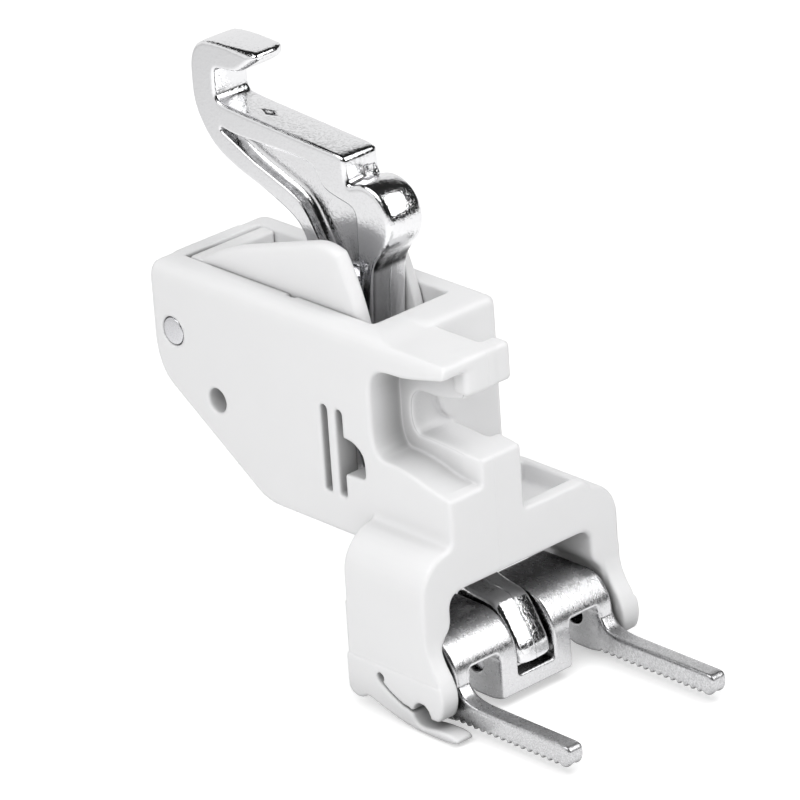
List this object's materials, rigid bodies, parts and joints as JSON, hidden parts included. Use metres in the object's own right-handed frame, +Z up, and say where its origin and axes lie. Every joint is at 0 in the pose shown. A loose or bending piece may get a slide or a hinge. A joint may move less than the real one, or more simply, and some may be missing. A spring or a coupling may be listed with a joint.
{
  "type": "dual feed foot holder",
  "caption": "Sewing machine foot holder with a hooked drive arm, a sprung rocker, a toothed two-finger feed plate and clip-on jaws for the foot.",
  "frame": {"origin": "on the axis of the clip-on foot pin, in the middle plane of the drive arm", "axes": "+X forward along the feed fingers, towards the user; +Y away from the clamp screw side; +Z up along the presser bar"},
  "size_m": [0.0514, 0.0232, 0.0516],
  "materials": {
    "housing": "semi-gloss white moulding",
    "rocker": "semi-gloss white moulding",
    "arm": "bright plated casting",
    "plate": "tumbled bright steel",
    "pins": "ground steel",
    "springs": "drawn spring wire",
    "brass": "turned"
  },
  "bodies": {
    "holder": {"housing": "housing", "rear_pin": "pins", "rear_sleeve": "brass", "rocker_spring": "springs"},
    "rocker": {"rocker": "rocker", "arm_pin": "pins", "arm_clip": "pins"},
    "bush": {"arm_bush": "pins", "arm_spring": "springs"},
    "arm": {"drive_arm": "arm", "plate_pin": "pins", "plate_ring_near": "pins", "plate_ring_far": "pins", "plate_spring": "springs"},
    "plate": {"feed_plate": "plate"}
  },
  "joints": [
    {"name": "rocker_lift", "type": "hinge", "parent": "holder", "child": "rocker", "pos_m": [-0.0334, 0, 0.0246], "axis": [0, 1, 0], "range_deg": [0, 14], "stiffness_Nm_per_rad": 0.012, "springref_deg": -34.38, "deforming": ["rocker_spring"]},
    {"name": "arm_level", "type": "hinge", "parent": "rocker", "child": "bush", "pos_m": [-0.0168, 0, 0.031], "axis": [0, 1, 0], "range_deg": [-14, 0]},
    {"name": "feed_swing", "type": "hinge", "parent": "bush", "child": "arm", "pos_m": [-0.0168, 0, 0.031], "axis": [0, 1, 0], "range_deg": [-1, 5], "stiffness_Nm_per_rad": 0.01, "deforming": ["arm_spring"]},
    {"name": "plate_tilt", "type": "hinge", "parent": "arm", "child": "plate", "pos_m": [-0.00125, 0, 0.00175], "axis": [0, 1, 0], "range_deg": [-5, 5], "stiffness_Nm_per_rad": 0.01, "springref_deg": -1.15, "deforming": ["plate_spring"]}
  ],
  "couplings": [
    {"joint": "arm_level", "follows": "rocker_lift", "ratio": -1}
  ]
}
